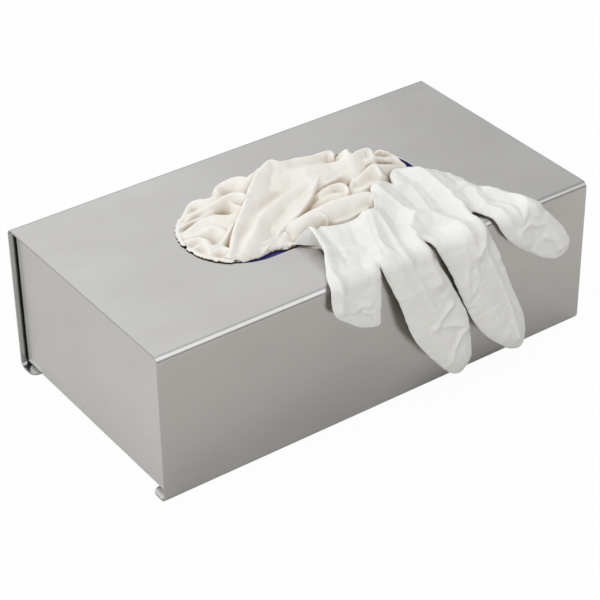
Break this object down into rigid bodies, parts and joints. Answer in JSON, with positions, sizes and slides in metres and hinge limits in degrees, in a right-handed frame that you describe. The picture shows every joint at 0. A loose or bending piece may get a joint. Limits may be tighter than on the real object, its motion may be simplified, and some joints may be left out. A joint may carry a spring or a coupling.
{
  "type": "glove box dispenser",
  "caption": "Folded steel dispenser for a carton of gloves, drawn through a long round-ended opening; its cover slides off lengthwise for reloading.",
  "frame": {"origin": "middle of the wall screw pattern, on the plane that the screw seats and the lips rest on", "axes": "+X along the dispenser, -Y towards the front wall that the drawn glove hangs over, +Z out of the opening"},
  "size_m": [0.255, 0.1485, 0.101],
  "materials": {
    "stainless_cover": "satin",
    "stainless_tray": "satin",
    "carton_card": "satin",
    "packed_glove_film": "matte",
    "pile_glove_film": "satin",
    "drawn_glove_film": "satin"
  },
  "bodies": {
    "tray": {"back_tray": "stainless_tray", "carton_sleeve": "carton_card", "carton_end_panels": "carton_card", "carton_dust_flaps": "carton_card", "packed_gloves": "packed_glove_film", "pile_glove_left": "pile_glove_film", "pile_glove_corner": "pile_glove_film", "pile_glove_fold": "pile_glove_film", "pile_glove_front_roll": "pile_glove_film", "pile_glove_curl": "pile_glove_film", "pile_glove_back_roll": "pile_glove_film", "pile_glove_right": "pile_glove_film"},
    "cover": {"cover_shell": "stainless_cover"},
    "drawn_glove": {"drawn_glove": "drawn_glove_film"}
  },
  "joints": [
    {"name": "cover_slide", "type": "slide", "parent": "tray", "child": "cover", "axis": [1, 0, 0], "range_m": [-0.26, 0.26], "deforming": ["pile_glove_left", "pile_glove_corner", "pile_glove_fold", "pile_glove_front_roll", "pile_glove_curl", "pile_glove_back_roll", "pile_glove_right"]},
    {"name": "glove_pull", "type": "slide", "parent": "cover", "child": "drawn_glove", "axis": [0, 0, 1], "range_m": [0, 0.15]}
  ]
}
